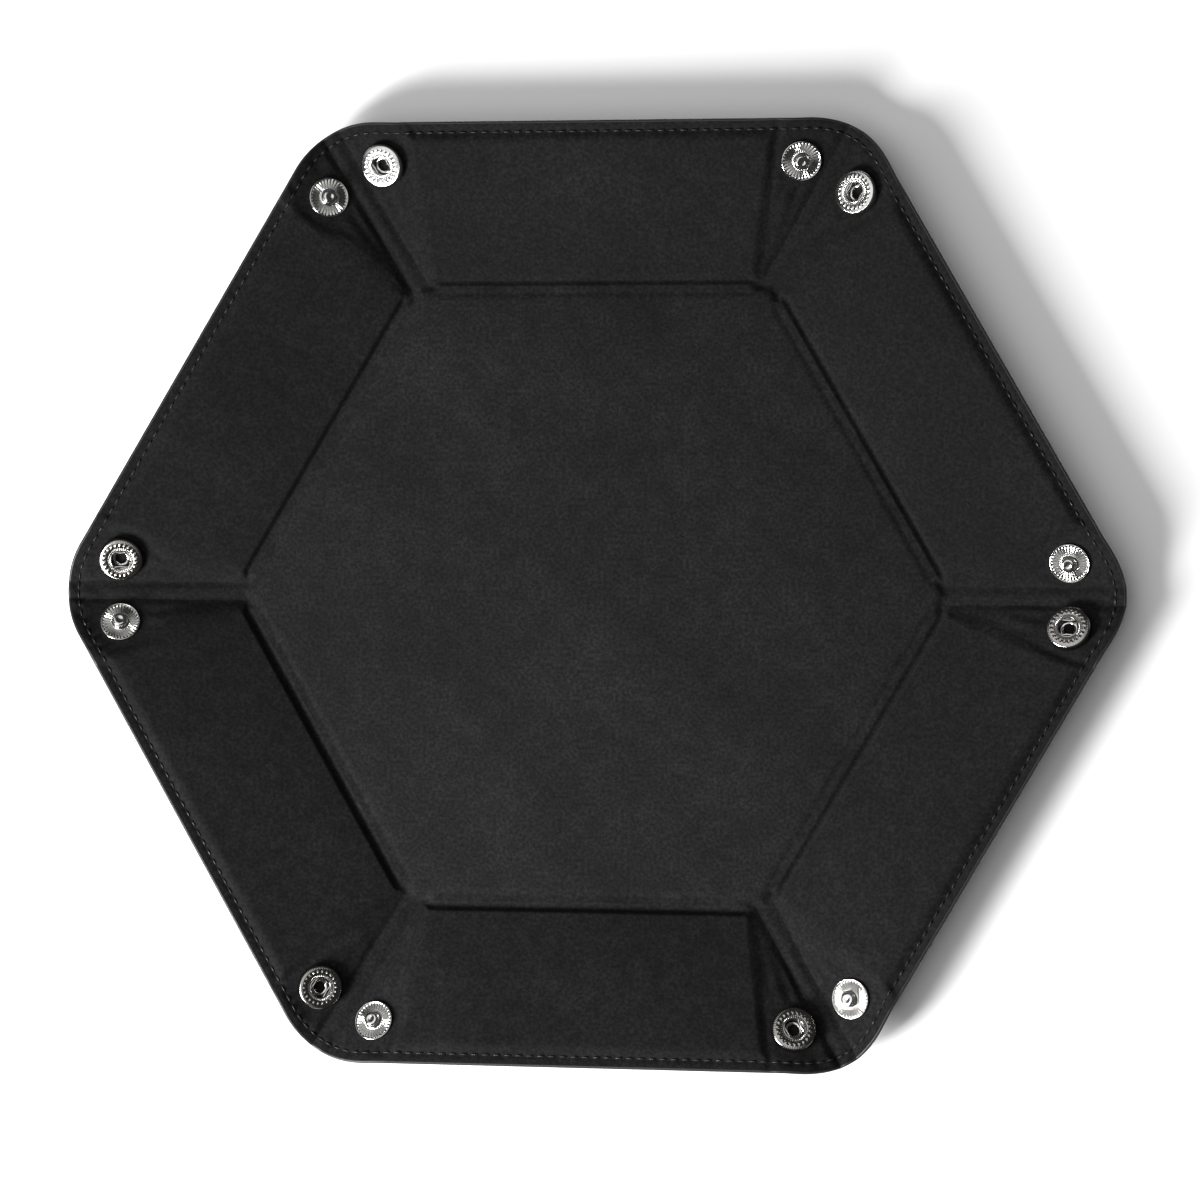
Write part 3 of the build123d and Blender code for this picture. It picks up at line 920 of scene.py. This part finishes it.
for i in range(1, 7):
    wall, flaps, strip = seam_for(i)
    piece = add_object(f"wall_{i}_stitches", wall.points, wall.faces, thread)
    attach(piece, f"wall_{i}")
    for side, snap in ((1, "stud"), (-1, "socket")):
        piece = add_object(f"wall_{i}_{snap}_flap_stitches", flaps[side].points, flaps[side].faces, thread)
        crease_side = on_flap(i, side, *from_crease(SNAP_ALONG, SNAP_ASIDE), 0.0)
        blend_over(piece, f"{snap}_flap_{i}_fold", crease_side, HINGE_REACH)
    piece = add_object(f"corner_{i}_crease_stitches", strip.points, strip.faces, thread)
    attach(piece, f"crease_{i}")


# ---------------------------------------------------------------- snaps


def snap_axes(i, side):
    """A snap's origin on the glue line, and its three axes: aside, along the crease, and out of the lining."""
    x, y = from_crease(SNAP_ALONG, SNAP_ASIDE)
    origin = on_flap(i, side, x, y, 0.0)
    along = on_flap(i, side, x + SIN30, y + COS30, 0.0) - origin
    normal = on_flap(i, side, x, y, 1.0) - origin
    return origin, np.stack([np.cross(along, normal), along, normal])


def lathe(profile, sides, relief=None):
    """A closed turned shape from a profile of radius, height and share of the relief. relief(radius,
    angle) times that share is added to each height."""
    profile = np.array(profile, float)
    turn = np.linspace(0, 2 * math.pi, sides, endpoint=False)
    r, a = np.meshgrid(profile[:, 0], turn, indexing="ij")
    h = np.broadcast_to(profile[:, 1:2], r.shape).copy()
    if relief:
        h += relief(r, a) * profile[:, 2:3]
    points = np.stack([r * np.cos(a), r * np.sin(a), h], axis=-1)
    count = len(profile)
    faces = []
    for k in range(count):
        for j in range(sides):
            n, m = (k + 1) % count, (j + 1) % sides
            faces.append((k * sides + j, k * sides + m, n * sides + m, n * sides + j))
    return points.reshape(-1, 3), faces


def arc(cx, cy, r, start, end, steps):
    """Points on a circle about (cx, cy), from start to end degrees."""
    return [
        (cx + r * math.cos(math.radians(a)), cy + r * math.sin(math.radians(a)))
        for a in np.linspace(start, end, steps)
    ]


def shown(profile, flag):
    """A profile with a third number, the share of the relief that its points take."""
    return [(r, h, flag) for r, h in profile]


def ribs(angle, count, sharp):
    """Evenly spaced ribs round a turned shape, from 0 to 1. A higher sharp makes them narrower."""
    return (0.5 + 0.5 * np.cos(count * angle)) ** sharp


def socket_relief(r, a):
    """Beading round the mouth, a ring of studs in place of stamped lettering, and a milled shoulder."""
    beads = 0.22 * np.exp(-(((r - 3.25) / 0.22) ** 2)) * (ribs(a, 40, 0.7) - 0.2)
    dashes = 0.20 * np.exp(-(((r - 4.35) / 0.30) ** 4)) * ribs(a, 22, 2.5)
    milled = 0.07 * np.exp(-(((r - 5.45) / 0.28) ** 2)) * (ribs(a, 72, 1) - 0.5)
    return beads + dashes + milled


def stud_relief(r, a):
    """Radial flutes pressed into the flange."""
    window = ease((r - 2.35) / 0.35) * ease((4.95 - r) / 0.3)
    return 0.30 * window * (ribs(a, 32, 1.4) - 0.5)


def socket_shape():
    """Profile of the socket's housing: foot, wall, rounded shoulder, crown, mouth and hollow inside."""
    top = LINING_T + 2.7
    outside = [(2.1, LINING_T), (5.6, LINING_T), (5.85, 0.68), (5.97, 0.86), (6.0, 1.1), (6.0, 2.0)]
    outside += [(6.0, 2.35)]
    shoulder = arc(5.15, 2.4, 0.85, 4, 68, 12)
    crown = [(5.3, 3.19), (5.15, 3.235), (5.0, 3.255), (4.85, 3.262), (4.7, 3.262), (4.55, 3.26)]
    crown += [(r, 3.255 + 0.02 * math.cos((r - 3.8) * 3)) for r in np.arange(4.45, 3.6, -0.08)]
    crown += [(r, 3.24 - 0.10 * ease((3.65 - r) / 0.3)) for r in np.arange(3.58, 2.92, -0.07)]
    mouth = [(2.88, 3.16), (2.78, top - 0.02), (2.68, top - 0.06), (2.61, top - 0.14), (2.6, top - 0.26)]
    inside = [(2.63, top - 0.40), (2.8, top - 0.44), (4.7, top - 0.44), (4.8, top - 0.6), (4.8, 1.06)]
    inside += [(4.7, 1.0), (2.1, 1.0)]
    return shown(outside, 0) + shown(shoulder, 1) + shown(crown, 1) + shown(mouth, 0) + shown(inside, 0)


def stud_shape():
    """Profile of the stud: rimmed flange, collar, neck and ball with a dimpled crown."""
    base = LINING_T
    rim = [(1.25, base), (5.3, base), (5.4, base + 0.1), (5.4, base + 0.62)]
    rim += arc(5.2, base + 0.62, 0.2, 10, 170, 9)
    rim += [(5.0, base + 0.52), (4.96, base + 0.47)]
    flange = [(r, base + 0.44) for r in np.arange(4.88, 2.4, -0.16)]
    collar = [(2.38, base + 0.46), (2.22, base + 0.52), (2.05, base + 0.66), (1.88, base + 0.86)]
    neck = [(1.72, base + 1.1), (1.65, base + 1.3), (1.65, base + 1.7), (1.70, base + 1.85)]
    ball = arc(1.3, base + 2.2, 0.6, -42, 78, 12)
    crown = [(1.2, base + 2.80), (0.9, base + 2.80), (0.72, base + 2.78), (0.6, base + 2.70), (0.45, base + 2.66)]
    crown += [(0.12, base + 2.65), (0.05, base + 2.65), (0.02, base + 2.65)]
    bore = [(0.02, base + 2.42), (1.25, base + 2.42)]
    return shown(rim, 0) + shown(flange, 1) + shown(collar + neck + ball + crown + bore, 0)


def cap_shape():
    """Dome under the cover, with the barrel through the flap and the lip flared in the socket."""
    face = -COVER_T
    dome = [(0.02, face - 1.9), (0.05, face - 1.9), (0.12, face - 1.9)]
    dome += [(r, face - 0.55 - 1.35 * math.sqrt(max(0, 1 - (r / 6.15) ** 2))) for r in np.arange(0.4, 5.7, 0.3)]
    dome += [(5.72, face - 1.02), (5.85, face - 0.86), (5.95, face - 0.68), (6.0, face - 0.48)]
    dome += [(6.0, face - 0.14), (5.93, face - 0.04), (5.8, face)]
    barrel = [(2.0, face), (2.0, 1.0), (2.4, 1.0), (2.5, 1.06), (2.52, 1.16), (2.46, 1.26), (2.3, 1.3)]
    barrel += [(1.85, 1.28), (1.6, 1.18), (1.5, 1.0), (1.5, face - 0.4), (0.02, face - 0.4)]
    return shown(dome + barrel, 0)


def post_shape():
    """Flat head under the cover, with the pin riveted up into the ball."""
    face = -COVER_T
    head = [(0.02, face - 0.72), (0.05, face - 0.72), (0.12, face - 0.72), (1.2, face - 0.73)]
    head += [(1.6, face - 0.78), (2.0, face - 0.86), (3.0, face - 0.9)]
    head += [(4.5, face - 0.88), (5.0, face - 0.8), (5.3, face - 0.66), (5.46, face - 0.46), (5.5, face - 0.2)]
    head += [(5.46, face - 0.05), (5.3, face), (2.0, face), (2.0, LINING_T - 0.05), (1.15, LINING_T - 0.05)]
    head += [(1.15, LINING_T + 2.2), (0.02, LINING_T + 2.2)]
    return shown(head, 0)


def spring_path():
    """Hairpin wire whose two legs cross the mouth each side of the ball's neck."""
    gap, half, corner, h = 2.3, 3.9, 1.5, LINING_T + 2.0
    path = [(gap, y) for y in np.linspace(-half, half - corner, 14)]
    path += [
        (gap - corner + corner * math.cos(a), half - corner + corner * math.sin(a))
        for a in np.linspace(0, math.pi / 2, 8)[1:]
    ]
    path += [(x, half) for x in np.linspace(gap - corner, corner - gap, 4)[1:]]
    path += [(-x, y) for x, y in path[: len(path) - 3][::-1]]
    bowed = []
    for x, y in path:
        pinch = 0.32 * math.exp(-((y / 2.0) ** 2)) * (1 if x > 0 else -1) * (abs(x) > 1.0)
        bowed.append((x - pinch, y, h))
    return bowed


def place_snap(i, side, points):
    """Points of a snap piece, moved to its flap."""
    origin, axes = snap_axes(i, side)
    return origin + np.asarray(points) @ axes


SPRING_WIRE_R = 0.25
LIT_SOCKETS = (1, 2)  # the other four get the darker copy of the nickel, painted shade where they reflect less light

for i in range(1, 7):
    # Sockets that reflect less light get the darker nickel, painted shade
    socket_metal = nickel if i in LIT_SOCKETS else shaded_nickel
    shapes = (
        ("snap_socket_ring", -1, lathe(socket_shape(), 288, socket_relief), socket_metal, "snap_socket"),
        ("snap_spring", -1, tube(spring_path(), SPRING_WIRE_R, 12), nickel, None),
        ("snap_cap_dome", -1, lathe(cap_shape(), 96), nickel, "snap_cap"),
        ("snap_stud_flange", 1, lathe(stud_shape(), 288, stud_relief), nickel, "snap_stud"),
        ("snap_post_head", 1, lathe(post_shape(), 96), nickel, None),
    )
    for name, side, (points, faces), metal, node in shapes:
        piece = add_object(f"wall_{i}_{name}", place_snap(i, side, points), faces, metal)
        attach(piece, f"{'stud' if side > 0 else 'socket'}_flap_{i}")
        if node:
            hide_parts(f"wall_{i}_{node}")


# ---------------------------------------------------------------- boards, floor, light and camera

for name, node in frame["nodes"].items():
    if name.endswith("_board"):
        node.data.materials.clear()
        node.data.materials.append(grey_board)

bpy.ops.mesh.primitive_plane_add(size=6.0, location=(0, 0, 0))
floor = bpy.context.object
floor.name = "floor"
floor_material, tree, shader, place = new_material("floor")
shader.inputs["Base Color"].default_value = (0.93, 0.93, 0.93, 1)
shader.inputs["Roughness"].default_value = 0.9
shader.inputs["Specular IOR Level"].default_value = 0.1
floor.data.materials.append(floor_material)


def softbox(name, place, width, height, watts):
    """A rectangular light that faces the middle of the tray."""
    data = bpy.data.lights.new(name, "AREA")
    data.shape, data.size, data.size_y = "RECTANGLE", width, height
    data.energy = watts
    lamp = bpy.data.objects.new(name, data)
    bpy.context.scene.collection.objects.link(lamp)
    lamp.location = place
    lamp.rotation_euler = (-Vector(place)).to_track_quat("-Z", "Y").to_euler()


softbox("key", (-0.468, -0.410, 0.419), 0.24, 0.34, 14.0)
softbox("ceiling", (-0.35, 0.15, 1.4), 1.7, 1.7, 13.0)

world = bpy.data.worlds.new("world")
bpy.context.scene.world = world
world.use_nodes = True
world.node_tree.nodes["Background"].inputs["Color"].default_value = (1, 1, 1, 1)
world.node_tree.nodes["Background"].inputs["Strength"].default_value = 0.06
bpy.context.scene.view_settings.view_transform = "Standard"
bpy.context.scene.view_settings.look = "None"

CAMERA_PLACE = Vector((0.1464, -0.0247, 1.0))
CAMERA_TARGET = Vector((0.00225, -0.00160, 0.0))
CAMERA_ROLL = -0.0106
FOCAL_PX = 3709.0  # focal length in pixels
PICTURE_PX = 1200
SENSOR = 36.0

camera_data = bpy.data.cameras.new("camera")
camera_data.sensor_width = SENSOR
camera_data.lens = FOCAL_PX / PICTURE_PX * SENSOR
camera = bpy.data.objects.new("camera", camera_data)
bpy.context.scene.collection.objects.link(camera)
ahead = (CAMERA_TARGET - CAMERA_PLACE).normalized()
right = ahead.cross(Vector((math.sin(CAMERA_ROLL), math.cos(CAMERA_ROLL), 0))).normalized()
upward = right.cross(ahead)
camera.matrix_world = Matrix.Translation(CAMERA_PLACE) @ Matrix((right, upward, -ahead)).transposed().to_4x4()
bpy.context.scene.camera = camera
